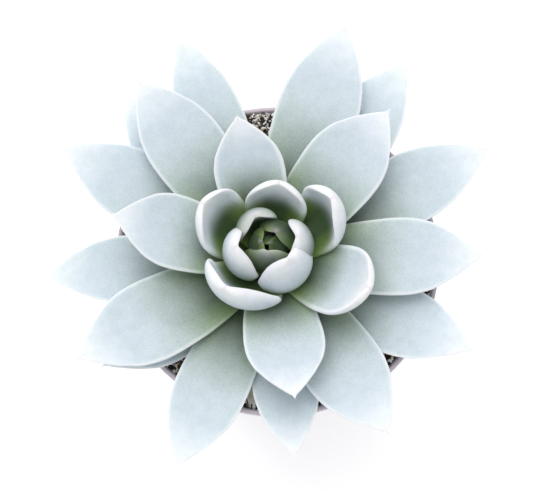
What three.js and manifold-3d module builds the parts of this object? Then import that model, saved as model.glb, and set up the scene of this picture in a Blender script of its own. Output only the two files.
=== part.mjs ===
// A rosette succulent growing in a round plastic nursery pot. Millimetres, +Z up.
// The origin is the centre of the pot's flat underside, and -Y is the front.
import * as THREE from "three";
import { mergeVertices } from "three/addons/utils/BufferGeometryUtils.js";
import Module from "manifold-3d";

const wasm = await Module();
wasm.setup();

// Pot: a thin moulded cup, tapered, with a narrow lip round the top.
const POT_HEIGHT = 88;
const RIM_RADIUS = 52.5;
const FOOT_RADIUS = 33.5;
const WALL = 1.3;
const FLOOR = 1.8;
const LIP_HEIGHT = 2;
const LIP_STEP = 1.2;
const LIP_ROUND = 0.4;
const LIP_BLEND = 1.5; // height over which the inside steps out to the lip
const FOOT_ROUND = 2;
const POT_SIDES = 60;
const DRAIN_HOLES = 6;
const DRAIN_RADIUS = 3;
const DRAIN_CIRCLE = 25;

// Soil: fills the pot almost to the rim, dished under the crown of the plant.
const GAP = 0.35; // clearance kept between neighbouring solids
const LEAF_GAP = 0.45; // between one leaf and the next
const SOIL_DROP = 1.5; // soil surface below the rim, at the wall
const SOIL_DISH = 2; // depth of the dish below that
const DISH_RADIUS = 20;
const BANK_RADIUS = 42; // where the dish has risen to the level at the wall

// Stem: stands a little left and in front of the pot's axis, and narrows towards the growing tip.
const STEM_X = -2.75;
const STEM_Y = -2;
const STEM_SIDES = 16;
const CROWN_LOW = -1.5; // height of the lowest leaf's base, from the rim
const CROWN_RISE = 16; // from the lowest leaf's base to the youngest leaf's base
const STEM_RADIUS_LOW = 7;
const STEM_RADIUS_TOP = 0.7;

// Leaves: the oldest comes first, and each next one stands a fixed angle further round.
const FIRST_AZIMUTH = -139;
const SPIRAL_ANGLE = 138;
const WIDEST_AT = 0.6; // fraction of the leaf's length
const BASE_WIDTH = 0.5; // width where it joins the stem, against the widest
const THICKNESS_RATIO = 0.16;
const THICKNESS_MAX = 4.2;
const FLESHY = 0.25; // how much thicker a fully blunt leaf is
const UPPER_SHARE = 0.3; // of the thickness, above the middle surface
const UPPER_SHARE_BLUNT = 0.5;
const THINNING = 2.4; // how early a pointed leaf thins towards its tip
const THINNING_BLUNT = 6.5;
const STATIONS = [0, 0.14, 0.3, 0.46, 0.6, 0.72, 0.82, 0.9, 0.955, 0.985];
const UPPER_ACROSS = [-1, -0.8, -0.4, 0, 0.4, 0.8, 1];
const LOWER_ACROSS = [0.8, 0.4, 0, -0.4, -0.8];

// turn: degrees off the regular spiral. reach and rise: the tip's distance from the stem's axis and its
// height above the rim. lift: the angle at which the leaf leaves the stem. belly: how far it runs that
// way before it bends up, in chord lengths. cup: half the angle its width wraps round. sweep: tip sideways.
// blunt: 0 for a pointed outline, 1 for a rounded, fleshy one.
const LEAVES = [
  { turn: -6.3, reach: 64, rise: 7, width: 23, lift: 3, belly: 0.5, cup: 12, sweep: 0, blunt: 0 },
  { turn: 2, reach: 68, rise: 8, width: 24, lift: 3, belly: 0.5, cup: 12, sweep: 0, blunt: 0 },
  { turn: -6, reach: 74, rise: 8, width: 24.5, lift: 3, belly: 0.5, cup: 12, sweep: 0, blunt: 0 },
  { turn: 2, reach: 66, rise: 8, width: 21, lift: 3, belly: 0.5, cup: 12, sweep: 0, blunt: 0 },
  { turn: 2.6, reach: 82.5, rise: 9, width: 24.3, lift: 3, belly: 0.5, cup: 12, sweep: 0, blunt: 0 },
  { turn: -7.5, reach: 72.5, rise: 10, width: 22.3, lift: 3, belly: 0.5, cup: 12, sweep: 3, blunt: 0 },
  { turn: 2.5, reach: 72, rise: 10.5, width: 23.8, lift: 3, belly: 0.5, cup: 12, sweep: 2.5, blunt: 0 },
  { turn: 5.3, reach: 82, rise: 12, width: 22, lift: 3, belly: 0.5, cup: 12, sweep: -1, blunt: 0 },
  { turn: 2.3, reach: 75.5, rise: 12, width: 23, lift: 2, belly: 0.5, cup: 12, sweep: 0, blunt: 0 },
  { turn: 3.5, reach: 81, rise: 12, width: 24.6, lift: 2, belly: 0.5, cup: 12, sweep: 0, blunt: 0 },
  { turn: -9, reach: 76.5, rise: 14, width: 25, lift: 2, belly: 0.5, cup: 12, sweep: 0, blunt: 0 },
  { turn: 3, reach: 70, rise: 14, width: 26, lift: 3, belly: 0.5, cup: 12, sweep: 0, blunt: 0 },
  { turn: -5.2, reach: 83, rise: 16, width: 27.2, lift: 3, belly: 0.5, cup: 14, sweep: 0, blunt: 0 },
  { turn: -3.5, reach: 70, rise: 17, width: 27, lift: 4, belly: 0.5, cup: 14, sweep: 0, blunt: 0 },
  { turn: 4.7, reach: 68, rise: 17, width: 26, lift: 5, belly: 0.5, cup: 15, sweep: 0, blunt: 0 },
  { turn: -3.5, reach: 71, rise: 20, width: 25.8, lift: 6, belly: 0.5, cup: 16, sweep: 0, blunt: 0 },
  { turn: 10, reach: 50, rise: 21, width: 25.5, lift: 8, belly: 0.5, cup: 20, sweep: 0, blunt: 0 },
  { turn: 2, reach: 59, rise: 22, width: 27, lift: 8, belly: 0.5, cup: 20, sweep: 0, blunt: 0 },
  { turn: -15, reach: 50, rise: 23, width: 25, lift: 8, belly: 0.5, cup: 22, sweep: 0, blunt: 0 },
  { turn: 11, reach: 34.5, rise: 25.5, width: 26, lift: 0, belly: 0.72, cup: 42, sweep: -1, blunt: 0.9 },
  { turn: 3, reach: 42, rise: 25, width: 23.5, lift: 10, belly: 0.5, cup: 30, sweep: 0, blunt: 0.15 },
  { turn: 1, reach: 20, rise: 24.5, width: 30, lift: -4, belly: 0.88, cup: 60, sweep: -4, blunt: 0.9 },
  { turn: 11, reach: 23, rise: 27, width: 24.5, lift: 0, belly: 1, cup: 60, sweep: 2, blunt: 0.9 },
  { turn: -1, reach: 23.5, rise: 26, width: 23.5, lift: 0, belly: 0.75, cup: 48, sweep: -1, blunt: 0.9 },
  { turn: 15, reach: 9, rise: 28, width: 24.5, lift: -8, belly: 0.92, cup: 70, sweep: 0, blunt: 0.8 },
  { turn: 9, reach: 17.5, rise: 28, width: 22, lift: 5, belly: 0.75, cup: 50, sweep: 0, blunt: 0.85 },
  { turn: -12, reach: 10.2, rise: 27, width: 23, lift: -5, belly: 0.88, cup: 78, sweep: 0, blunt: 0.8 },
  { turn: 15, reach: 8.5, rise: 26.5, width: 21, lift: 0, belly: 1, cup: 70, sweep: 0, blunt: 1 },
  { turn: -2, reach: 8, rise: 27, width: 18.5, lift: 0, belly: 0.92, cup: 75, sweep: 0, blunt: 1 },
  { turn: 0, reach: 3.5, rise: 23.5, width: 18, lift: -5, belly: 0.78, cup: 70, sweep: 0, blunt: 0.6 },
  { turn: 12, reach: 3, rise: 24, width: 17, lift: 0, belly: 1.1, cup: 75, sweep: 0, blunt: 0.6 },
  { turn: 6, reach: 2.2, rise: 23.5, width: 15, lift: 10, belly: 0.66, cup: 58, sweep: 0, blunt: 0.6 },
  { turn: 28, reach: 0, rise: 22, width: 11, lift: 20, belly: 0.9, cup: 75, sweep: 0, blunt: 0.3 },
  { turn: -11, reach: -0.8, rise: 22, width: 11, lift: 30, belly: 0.6, cup: 60, sweep: 0, blunt: 0.3 },
];

// A withered leaf that lies on the soil under the rosette, in front.
const DRY_LEAF = { azimuth: -99, base: [16, -2.1], tip: [48, -0.6], width: 7, thickness: 0.9, blunt: 0.1 };

const radians = THREE.MathUtils.degToRad;

function material(color, roughness) {
  return new THREE.MeshStandardMaterial({ color, roughness, metalness: 0 });
}

const potPlastic = material(0xc9c4d2, 0.55);
const soilMix = material(0x3b342d, 1);
const stemBark = material(0xa9ad84, 0.8);
const leafSkin = material(0xc6d6d8, 0.62);
const heartSkin = material(0x8fa796, 0.6);
const dryLeafSkin = material(0xd8cdb8, 0.9);

// --- closed meshes and solids -------------------------------------------------------------------

function solidFrom(geometry) {
  const bare = geometry.clone();
  bare.deleteAttribute("normal");
  bare.deleteAttribute("uv");
  const merged = mergeVertices(bare, 1e-4);
  return new wasm.Manifold(
    new wasm.Mesh({
      numProp: 3,
      vertProperties: merged.attributes.position.array,
      triVerts: new Uint32Array(merged.index.array),
    }),
  );
}

function geometryFrom(solid) {
  const mesh = solid.getMesh();
  const geometry = new THREE.BufferGeometry();
  geometry.setAttribute("position", new THREE.BufferAttribute(mesh.vertProperties, 3));
  geometry.setIndex(new THREE.BufferAttribute(mesh.triVerts, 1));
  geometry.computeVertexNormals();
  return geometry;
}

function largestBody(solid) {
  const bodies = solid.decompose();
  return bodies.reduce((best, body) => (body.volume() > best.volume() ? body : best));
}

// A profile of [radius, height] points, counter-clockwise when +Z is up, turned round the Z axis.
function turned(profile, sides) {
  const points = profile.map(([radius, height]) => new THREE.Vector2(radius, height));
  return new THREE.LatheGeometry(points, sides).rotateX(Math.PI / 2);
}

// Rings of equal length, joined in order, with a flat cap on the first and a point after the last.
function loftToPoint(rings, point) {
  const size = rings[0].length;
  const positions = rings.flat().concat([point, centreOf(rings[0])]);
  const tip = rings.length * size;
  const cap = tip + 1;
  const triangles = [];
  for (let i = 0; i < size; i += 1) {
    const next = (i + 1) % size;
    for (let ring = 0; ring + 1 < rings.length; ring += 1) {
      const a = ring * size;
      const b = a + size;
      triangles.push(a + i, b + i, b + next, a + i, b + next, a + next);
    }
    const last = tip - size;
    triangles.push(last + i, tip, last + next);
    triangles.push(cap, i, next);
  }
  const geometry = new THREE.BufferGeometry().setFromPoints(positions);
  geometry.setIndex(triangles);
  return geometry;
}

function centreOf(ring) {
  const sum = ring.reduce((total, point) => total.add(point), new THREE.Vector3());
  return sum.divideScalar(ring.length);
}

// --- pot and soil -------------------------------------------------------------------------------

// Outer radius of the tapered wall at a height, below the lip.
function potRadius(height) {
  const top = RIM_RADIUS - LIP_STEP;
  return THREE.MathUtils.lerp(FOOT_RADIUS, top, height / (POT_HEIGHT - LIP_HEIGHT));
}

function potProfile() {
  const shoulder = POT_HEIGHT - LIP_HEIGHT;
  return [
    [0, 0],
    [potRadius(0) - FOOT_ROUND, 0],
    [potRadius(0) - FOOT_ROUND * 0.3, FOOT_ROUND * 0.3],
    [potRadius(FOOT_ROUND), FOOT_ROUND],
    [potRadius(shoulder), shoulder],
    [RIM_RADIUS, shoulder + 0.2],
    [RIM_RADIUS, POT_HEIGHT - LIP_ROUND],
    [RIM_RADIUS - LIP_ROUND, POT_HEIGHT],
    [RIM_RADIUS - WALL, POT_HEIGHT],
    [potRadius(shoulder) - WALL, shoulder - LIP_BLEND],
    [potRadius(FLOOR) - WALL, FLOOR + 1.5],
    [potRadius(FLOOR) - WALL - 1.5, FLOOR],
    [0, FLOOR],
    [0, 0],
  ];
}

function makePot() {
  const hole = new THREE.CylinderGeometry(DRAIN_RADIUS, DRAIN_RADIUS, FLOOR * 4, 12);
  hole.rotateX(Math.PI / 2);
  let pot = solidFrom(turned(potProfile(), POT_SIDES));
  for (let i = 0; i < DRAIN_HOLES; i += 1) {
    const angle = ((i + 0.5) / DRAIN_HOLES) * Math.PI * 2;
    const placed = hole.clone();
    placed.translate(DRAIN_CIRCLE * Math.cos(angle), DRAIN_CIRCLE * Math.sin(angle), FLOOR / 2);
    pot = pot.subtract(solidFrom(placed));
  }
  return pot;
}

function makeSoil() {
  const shoulder = POT_HEIGHT - LIP_HEIGHT - LIP_BLEND;
  const surface = POT_HEIGHT - SOIL_DROP;
  const inside = WALL + GAP;
  const edge = potRadius(shoulder) - inside;
  return solidFrom(
    turned(
      [
        [0, FLOOR + GAP],
        [potRadius(FLOOR) - inside - 1.6, FLOOR + GAP],
        [potRadius(FLOOR) - inside - 0.1, FLOOR + GAP + 1.6],
        [edge, shoulder],
        [edge, surface - 0.8],
        [edge - 1, surface],
        [BANK_RADIUS, surface],
        [DISH_RADIUS, surface - SOIL_DISH],
        [0, surface - SOIL_DISH],
        [0, FLOOR + GAP],
      ],
      POT_SIDES,
    ),
  );
}

// --- stem ---------------------------------------------------------------------------------------

// The stem's radius and height where the leaf of an age joins it: 0 is the oldest, 1 the youngest.
function jointOf(age) {
  return {
    radius: THREE.MathUtils.lerp(STEM_RADIUS_LOW, STEM_RADIUS_TOP, age),
    height: POT_HEIGHT + CROWN_LOW + CROWN_RISE * age,
  };
}

function makeStem(grow) {
  const low = jointOf(0);
  const top = jointOf(1);
  const under = POT_HEIGHT - SOIL_DROP - SOIL_DISH + GAP;
  const points = [
    [0, under - grow],
    [low.radius - 2 * GAP + grow, under - grow],
    [low.radius - GAP + grow, low.height],
    [top.radius + grow, top.height - 1.2],
    [0, top.height - 0.6 + grow],
    [0, under - grow],
  ];
  const geometry = turned(points, STEM_SIDES);
  geometry.translate(STEM_X, STEM_Y, 0);
  return solidFrom(geometry);
}

// --- leaves -------------------------------------------------------------------------------------

// Half the width at a fraction of the length, against half the widest: a waisted base, then a point,
// or a round end where the leaf is blunt.
function outlineAt(along, blunt) {
  if (along < WIDEST_AT) {
    const swell = Math.sin((Math.PI / 2) * (along / WIDEST_AT));
    return THREE.MathUtils.lerp(BASE_WIDTH, 1, swell);
  }
  const past = (along - WIDEST_AT) / (1 - WIDEST_AT);
  const pointed = Math.cos((Math.PI / 2) * past) * (1 - 0.18 * past ** 6);
  return THREE.MathUtils.lerp(pointed, Math.sqrt(1 - past ** 3.2), blunt);
}

function thicknessAt(leaf, along, halfWidth) {
  const swell = Math.min(1, 0.62 + (0.38 * along) / 0.3);
  const thinning = THREE.MathUtils.lerp(THINNING, THINNING_BLUNT, leaf.blunt);
  const thinned = leaf.thickness * swell * Math.sqrt(1 - along ** thinning);
  return Math.min(thinned, halfWidth * 0.9);
}

// The leaf's midrib is a quadratic curve in the upright plane of its azimuth: start, knee, tip.
function midribOf(leaf) {
  const chord = Math.hypot(leaf.tip[0] - leaf.base[0], leaf.tip[1] - leaf.base[1]);
  const run = leaf.belly * chord;
  return new THREE.QuadraticBezierCurve(
    new THREE.Vector2(...leaf.base),
    new THREE.Vector2(
      leaf.base[0] + run * Math.cos(radians(leaf.lift)),
      leaf.base[1] + run * Math.sin(radians(leaf.lift)),
    ),
    new THREE.Vector2(...leaf.tip),
  );
}

// One closed section across the leaf: an arc that wraps up by the cup angle, thickened both ways.
function leafSection(leaf, midrib, along, grow) {
  const middle = midrib.getPoint(along);
  const heading = midrib.getTangent(along);
  const half = (leaf.width / 2) * outlineAt(along, leaf.blunt);
  const wrapped = 0.45 + 0.55 * Math.sin((Math.PI / 2) * Math.min(1, along / WIDEST_AT));
  const cup = radians(leaf.cup) * wrapped;
  const arcRadius = half / cup;
  const thickness = thicknessAt(leaf, along, half);
  const above = THREE.MathUtils.lerp(UPPER_SHARE, UPPER_SHARE_BLUNT, leaf.blunt);
  const place = (across, share) => {
    const depth = thickness * Math.sqrt(1 - across * across);
    const sideways = across * cup * (1 + (2 * grow) / half);
    const outwards = Math.abs(across) === 1 ? 0 : Math.sign(share) * grow;
    const radius = arcRadius - share * depth - outwards;
    const lateral = radius * Math.sin(sideways) + leaf.sweep * along ** 2;
    const raised = arcRadius - radius * Math.cos(sideways);
    const out = middle.x - heading.y * raised;
    const height = middle.y + heading.x * raised;
    return leafPoint(leaf, out, lateral, height);
  };
  return [
    ...UPPER_ACROSS.map((across) => place(across, above)),
    ...LOWER_ACROSS.map((across) => place(across, above - 1)),
  ];
}

function leafPoint(leaf, out, lateral, height) {
  const cos = Math.cos(radians(leaf.azimuth));
  const sin = Math.sin(radians(leaf.azimuth));
  return new THREE.Vector3(
    STEM_X + out * cos - lateral * sin,
    STEM_Y + out * sin + lateral * cos,
    POT_HEIGHT + height,
  );
}

function makeLeaf(leaf, grow) {
  const midrib = midribOf(leaf);
  const rings = STATIONS.map((along) => leafSection(leaf, midrib, along, grow));
  const end = midrib.getPoint(1).addScaledVector(midrib.getTangent(1), grow * 1.5);
  return solidFrom(loftToPoint(rings, leafPoint(leaf, end.x, leaf.sweep, end.y)));
}

function livingLeaf(row, index) {
  const joint = jointOf(index / (LEAVES.length - 1));
  const thickness = Math.min(THICKNESS_MAX, THICKNESS_RATIO * row.width);
  return {
    ...row,
    azimuth: FIRST_AZIMUTH + SPIRAL_ANGLE * index + row.turn,
    base: [joint.radius, joint.height - POT_HEIGHT],
    tip: [row.reach, row.rise],
    thickness: thickness * (1 + FLESHY * row.blunt),
  };
}

// Every leaf is pressed flat where a younger one lies on it, so the younger one, grown by the
// clearance, is cut out of it. The youngest leaf comes first.
function makeLeaves(stem) {
  const finished = [];
  const cutters = [stem];
  for (let index = LEAVES.length - 1; index >= 0; index -= 1) {
    const leaf = livingLeaf(LEAVES[index], index);
    let solid = makeLeaf(leaf, 0);
    cutters.forEach((cutter) => {
      solid = solid.subtract(cutter);
    });
    finished.unshift(largestBody(solid));
    cutters.push(makeLeaf(leaf, LEAF_GAP));
  }
  return finished;
}

function makeDryLeaf() {
  return makeLeaf({ ...DRY_LEAF, lift: 2, belly: 0.5, cup: 35, sweep: 1.5 }, 0);
}

// --- the plant in its pot -----------------------------------------------------------------------

const root = new THREE.Group();
root.name = "potted_succulent";

function add(name, solid, skin) {
  const mesh = new THREE.Mesh(geometryFrom(solid), skin);
  mesh.name = name;
  root.add(mesh);
}

add("pot", makePot(), potPlastic);
add("soil", makeSoil(), soilMix);
add("stem", makeStem(0), stemBark);
add("dry_leaf", makeDryLeaf(), dryLeafSkin);

const HEART_FROM = 24; // leaves of this index and on stay closed over the growing tip
makeLeaves(makeStem(GAP)).forEach((solid, index) => {
  const name = `leaf_${String(index + 1).padStart(2, "0")}`;
  add(name, solid, index < HEART_FROM ? leafSkin : heartSkin);
});

export default root;
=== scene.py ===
import math
import bmesh
import bpy
from mathutils import Matrix, Vector, noise


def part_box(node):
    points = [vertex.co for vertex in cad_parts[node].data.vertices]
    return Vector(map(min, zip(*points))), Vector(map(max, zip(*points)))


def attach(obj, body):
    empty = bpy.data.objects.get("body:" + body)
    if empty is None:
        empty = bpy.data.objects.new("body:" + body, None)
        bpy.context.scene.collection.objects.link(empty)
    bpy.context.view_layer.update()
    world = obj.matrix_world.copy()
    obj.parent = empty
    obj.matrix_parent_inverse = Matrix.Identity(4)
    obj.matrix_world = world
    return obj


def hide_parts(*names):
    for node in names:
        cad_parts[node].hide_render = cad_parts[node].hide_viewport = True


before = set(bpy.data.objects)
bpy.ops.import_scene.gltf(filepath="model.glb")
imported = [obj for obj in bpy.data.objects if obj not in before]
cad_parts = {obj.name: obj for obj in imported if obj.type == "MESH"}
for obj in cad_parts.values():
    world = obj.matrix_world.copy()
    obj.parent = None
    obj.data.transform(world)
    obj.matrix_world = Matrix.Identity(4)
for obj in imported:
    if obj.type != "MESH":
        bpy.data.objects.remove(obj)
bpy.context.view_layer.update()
mm = 0.001
scene = bpy.context.scene
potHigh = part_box("pot")[1]
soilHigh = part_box("soil")[1]
stemLow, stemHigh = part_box("stem")
rimHeight = potHigh.z
rimRadius = potHigh.x
stemX = (stemLow.x + stemHigh.x) / 2
stemY = (stemLow.y + stemHigh.y) / 2


# sRGB hex to the linear colour that sockets want
def hexColor(text):
    parts = [int(text[i:i + 2], 16) / 255 for i in (1, 3, 5)]
    linear = [p / 12.92 if p <= 0.04045 else ((p + 0.055) / 1.055) ** 2.4 for p in parts]
    return (*linear, 1)


# Adds one node: inputs by place or by name, each a node, a socket or a plain value
def addNode(tree, kind, inputs=(), **settings):
    node = tree.nodes.new(kind)
    for name, value in settings.items():
        setattr(node, name, value)
    sockets = [s for s in node.inputs if s.enabled]
    pairs = inputs.items() if isinstance(inputs, dict) else enumerate(inputs)
    for key, value in pairs:
        socket = sockets[key] if isinstance(key, int) else next(s for s in sockets if s.name == key)
        if isinstance(value, bpy.types.Node):
            value = next(s for s in value.outputs if s.enabled)
        if isinstance(value, bpy.types.NodeSocket):
            tree.links.new(value, socket)
        else:
            socket.default_value = value
    return node


def newMaterial(name):
    material = bpy.data.materials.new(name)
    material.use_nodes = True
    material.node_tree.nodes.clear()
    return material, material.node_tree


# A colour ramp's stops, as (place, colour)
def setRamp(node, stops):
    ramp = node.color_ramp
    while len(ramp.elements) < len(stops):
        ramp.elements.new(0.5)
    for element, (place, color) in zip(ramp.elements, stops):
        element.position = place
        element.color = hexColor(color)
    return node


def linkObject(name, mesh):
    piece = bpy.data.objects.new(name, mesh)
    scene.collection.objects.link(piece)
    return piece


# Hands a finished piece over: hides the CAD nodes it stands for and hangs it on the root body
def handOver(piece, slotName, *nodes):
    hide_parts(*nodes)
    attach(piece, "root")
    return piece


# Runs a Geometry Nodes tree on an object and keeps the result as its plain mesh
def bakeNodes(piece, tree, values):
    modifier = piece.modifiers.new("shape", "NODES")
    modifier.node_group = tree
    for item in tree.interface.items_tree:
        if item.in_out == "INPUT" and item.name in values:
            modifier[item.identifier] = values[item.name]
    bpy.context.view_layer.update()
    evaluated = piece.evaluated_get(bpy.context.evaluated_depsgraph_get())
    mesh = bpy.data.meshes.new_from_object(evaluated)
    piece.modifiers.remove(modifier)
    piece.data = mesh
    return piece


def newTree(name, sockets):
    tree = bpy.data.node_groups.new(name, "GeometryNodeTree")
    for label, kind in sockets:
        tree.interface.new_socket(label, in_out="INPUT", socket_type="NodeSocket" + kind)
    tree.interface.new_socket("Geometry", in_out="OUTPUT", socket_type="NodeSocketGeometry")
    return tree, tree.nodes.new("NodeGroupInput").outputs


# Camera: close above the plant, leaning to the front, a long lens so the rim stays near round.
# Its aim counts from the middle of the rim.
view = {"tilt": 17.5, "distance": 500 * mm, "aim": (-3.55 * mm, 1.4 * mm, 0.9 * mm), "lens": 104.2}
cameraData = bpy.data.cameras.new("camera")
cameraData.lens = view["lens"]
cameraData.sensor_width = 36
cameraData.clip_start = 0.01
camera = bpy.data.objects.new("camera", cameraData)
scene.collection.objects.link(camera)
tilt = math.radians(view["tilt"])
backwards = Vector((0, -math.sin(tilt), math.cos(tilt)))
camera.location = Vector(view["aim"]) + Vector((0, 0, rimHeight)) + backwards * view["distance"]
camera.rotation_euler = (tilt, 0, 0)
scene.camera = camera
print("camera set")

# Light: a white tent, one big soft lamp from above and behind, and a white light table
studio = {"tent": 0.64, "lamp": 10, "lampSize": 1.2, "lampPlace": (-0.2, 0.45, 1.15),
          "table": "#f4f4f4", "tableGlow": 0.4}
scene.view_settings.view_transform = "Standard"
scene.view_settings.look = "None"
world = bpy.data.worlds.new("tent")
scene.world = world
world.use_nodes = True
world.node_tree.nodes["Background"].inputs["Color"].default_value = (1, 1, 1, 1)
world.node_tree.nodes["Background"].inputs["Strength"].default_value = studio["tent"]
lampData = bpy.data.lights.new("softLamp", "AREA")
lampData.energy = studio["lamp"]
lampData.size = studio["lampSize"]
lamp = bpy.data.objects.new("softLamp", lampData)
scene.collection.objects.link(lamp)
lamp.location = studio["lampPlace"]
lamp.rotation_euler = (Vector((0, 0, rimHeight)) - lamp.location).to_track_quat("-Z", "Y").to_euler()

tableMesh = bpy.data.meshes.new("table")
tableHalf = 3
tableMesh.from_pydata([(-tableHalf, -tableHalf, 0), (tableHalf, -tableHalf, 0),
                       (tableHalf, tableHalf, 0), (-tableHalf, tableHalf, 0)], [], [(0, 1, 2, 3)])
table = linkObject("table", tableMesh)
tablePaint, tree = newMaterial("whiteTable")
shader = addNode(tree, "ShaderNodeBsdfPrincipled", {
    "Base Color": hexColor(studio["table"]), "Roughness": 0.9,
    "Emission Color": (1, 1, 1, 1), "Emission Strength": studio["tableGlow"]})
addNode(tree, "ShaderNodeOutputMaterial", [shader])
tableMesh.materials.append(tablePaint)
print("studio set")


# Rosette leaf: living green tissue under a powdery wax bloom. The wax scatters light, so a blade looks pale
# blue and chalky where it has come in, and green where it is thin: near the base and in the young heart.
# That green near the bases, on the inner faces and deep in the heart is partly painted shade.
bloom = {"mottleSize": 3.5, "speckSize": 0.45, "rubSize": 9, "bumpDepth": 0.04, "wander": 0.09,
         "hemFalloff": 3.0, "hemReach": 0.3, "thinning": 1.7, "rimFrom": 0.9, "rimFromCupped": 0.75,
         "rimWaxAndHighlight": 0.6, "rimColor": "#f2f3f7", "flush": 0.4, "flushColor": "#c9b4c6",
         "upper": {"start": 0.02, "full": 0.64, "youngShiftStart": 0.42, "youngShiftFull": 0.2},
         "lower": {"start": 0.03, "full": 0.5, "youngShiftStart": 1.0, "youngShiftFull": 1.6},
         "bareMiddleShaded": "#3f5532", "bareMargin": "#758f49"}


def bloomedLeafSkin():
    material, tree = newMaterial("waxBloomLeaf")
    place = addNode(tree, "ShaderNodeTexCoord").outputs["Object"]
    along = addNode(tree, "ShaderNodeAttribute", attribute_name="along").outputs["Fac"]
    across = addNode(tree, "ShaderNodeAttribute", attribute_name="across").outputs["Fac"]
    face = addNode(tree, "ShaderNodeAttribute", attribute_name="face").outputs["Fac"]
    youth = addNode(tree, "ShaderNodeAttribute", attribute_name="youth").outputs["Fac"]
    side = addNode(tree, "ShaderNodeMath", [across], operation="ABSOLUTE")
    mottle = addNode(tree, "ShaderNodeTexNoise", {
        "Vector": place, "Scale": 1 / (bloom["mottleSize"] * mm), "Detail": 5.0, "Roughness": 0.65})
    speck = addNode(tree, "ShaderNodeTexNoise",
                    {"Vector": place, "Scale": 1 / (bloom["speckSize"] * mm), "Detail": 2.0})
    rub = addNode(tree, "ShaderNodeTexNoise",
                  {"Vector": place, "Scale": 1 / (bloom["rubSize"] * mm), "Detail": 3.0})
    # how much wax lies at this place: its edge wanders, and it comes in later on young leaves; the green left
    # low on the blades, on the inner faces and in the young heart is partly painted shade
    wander = addNode(tree, "ShaderNodeMath", [rub, -0.5], operation="ADD")
    wander = addNode(tree, "ShaderNodeMath", [wander, bloom["wander"], along], operation="MULTIPLY_ADD")
    cupped = addNode(tree, "ShaderNodeMapRange", {"Value": youth, "From Max": 0.3},
                     interpolation_type="SMOOTHSTEP")
    # on cupped leaves it also creeps down along the margins: partly wax, partly painted light on the rounded
    # crests, with the green middle of the inner face as painted shade
    hem = addNode(tree, "ShaderNodeMath", [side, bloom["hemFalloff"]], operation="POWER")
    hem = addNode(tree, "ShaderNodeMath", [hem, cupped], operation="MULTIPLY")
    hemmed = addNode(tree, "ShaderNodeMath", [hem, bloom["hemReach"], wander], operation="MULTIPLY_ADD")
    # young leaves stay green longer, partly as painted shade deep in the heart
    late = addNode(tree, "ShaderNodeMath", [youth, 2.0], operation="POWER")
    waxCoverAndShades = {}
    for key, youngShift, spread in (("upper", cupped, hemmed), ("lower", late, wander)):
        start = addNode(tree, "ShaderNodeMath", [youngShift, bloom[key]["youngShiftStart"], bloom[key]["start"]],
                        operation="MULTIPLY_ADD")
        full = addNode(tree, "ShaderNodeMath", [youngShift, bloom[key]["youngShiftFull"], bloom[key]["full"]],
                       operation="MULTIPLY_ADD")
        waxCoverAndShades[key] = addNode(tree, "ShaderNodeMapRange", {
            "Value": spread, "From Min": start, "From Max": full}, interpolation_type="SMOOTHSTEP")
    isUpper = addNode(tree, "ShaderNodeMapRange", {"Value": face, "From Min": -0.3, "From Max": 0.95},
                      interpolation_type="SMOOTHSTEP")
    waxCoverAndShade = addNode(tree, "ShaderNodeMix", {
        "Factor": isUpper, "A": waxCoverAndShades["lower"], "B": waxCoverAndShades["upper"]}, data_type="FLOAT")
    waxCoverAndShade = addNode(tree, "ShaderNodeMath", [waxCoverAndShade, bloom["thinning"]], operation="POWER")
    # bare tissue: yellow-green at the thin margins of the base, deeper green in the thick middle, darkened
    # further as painted shade
    outward = addNode(tree, "ShaderNodeMapRange", {"Value": side, "From Min": 0.3, "From Max": 0.95})
    bare = addNode(tree, "ShaderNodeMix", {
        "Factor": outward, "A": hexColor(bloom["bareMiddleShaded"]), "B": hexColor(bloom["bareMargin"])},
        data_type="RGBA").outputs["Result"]
    # wax: blue-grey on the blade, whiter to the tip; the darker base is partly painted shade from the leaves
    # above
    waxShaded = setRamp(addNode(tree, "ShaderNodeValToRGB", [along]), [
        (0.3, "#bfccc9"), (0.55, "#ccd7dc"), (0.75, "#d4dde7"), (0.92, "#ebeff6"), (1.0, "#f6f6f9")])
    skin = addNode(tree, "ShaderNodeMix", {"Factor": waxCoverAndShade, "A": bare, "B": waxShaded},
                   data_type="RGBA").outputs["Result"]
    # fine mottling and specks where the powder is thin
    patches = setRamp(addNode(tree, "ShaderNodeValToRGB", [mottle]), [(0.35, "#e4ebe6"), (0.6, "#ffffff")])
    skin = addNode(tree, "ShaderNodeMix", {"Factor": 0.35, "A": skin, "B": patches},
                   data_type="RGBA", blend_type="MULTIPLY").outputs["Result"]
    grains = setRamp(addNode(tree, "ShaderNodeValToRGB", [speck]), [(0.38, "#d2dcd4"), (0.52, "#ffffff")])
    grainy = addNode(tree, "ShaderNodeMapRange", {
        "Value": along, "From Min": 0.3, "From Max": 0.85, "To Min": 0.55, "To Max": 0.1})
    skin = addNode(tree, "ShaderNodeMix", {"Factor": grainy, "A": skin, "B": grains},
                   data_type="RGBA", blend_type="MULTIPLY").outputs["Result"]
    # the rounded margin carries more wax and a painted highlight where it catches the light, down to where
    # the base turns green
    narrow = addNode(tree, "ShaderNodeMapRange", {
        "Value": cupped, "To Min": bloom["rimFrom"], "To Max": bloom["rimFromCupped"]})
    rim = addNode(tree, "ShaderNodeMapRange", {"Value": side, "From Min": narrow, "From Max": 0.99},
                  interpolation_type="SMOOTHSTEP")
    rim = addNode(tree, "ShaderNodeMath", [rim, waxCoverAndShade], operation="MULTIPLY")
    rim = addNode(tree, "ShaderNodeMath", [rim, bloom["rimWaxAndHighlight"]], operation="MULTIPLY")
    skin = addNode(tree, "ShaderNodeMix", {"Factor": rim, "A": skin, "B": hexColor(bloom["rimColor"])},
                   data_type="RGBA").outputs["Result"]
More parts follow.
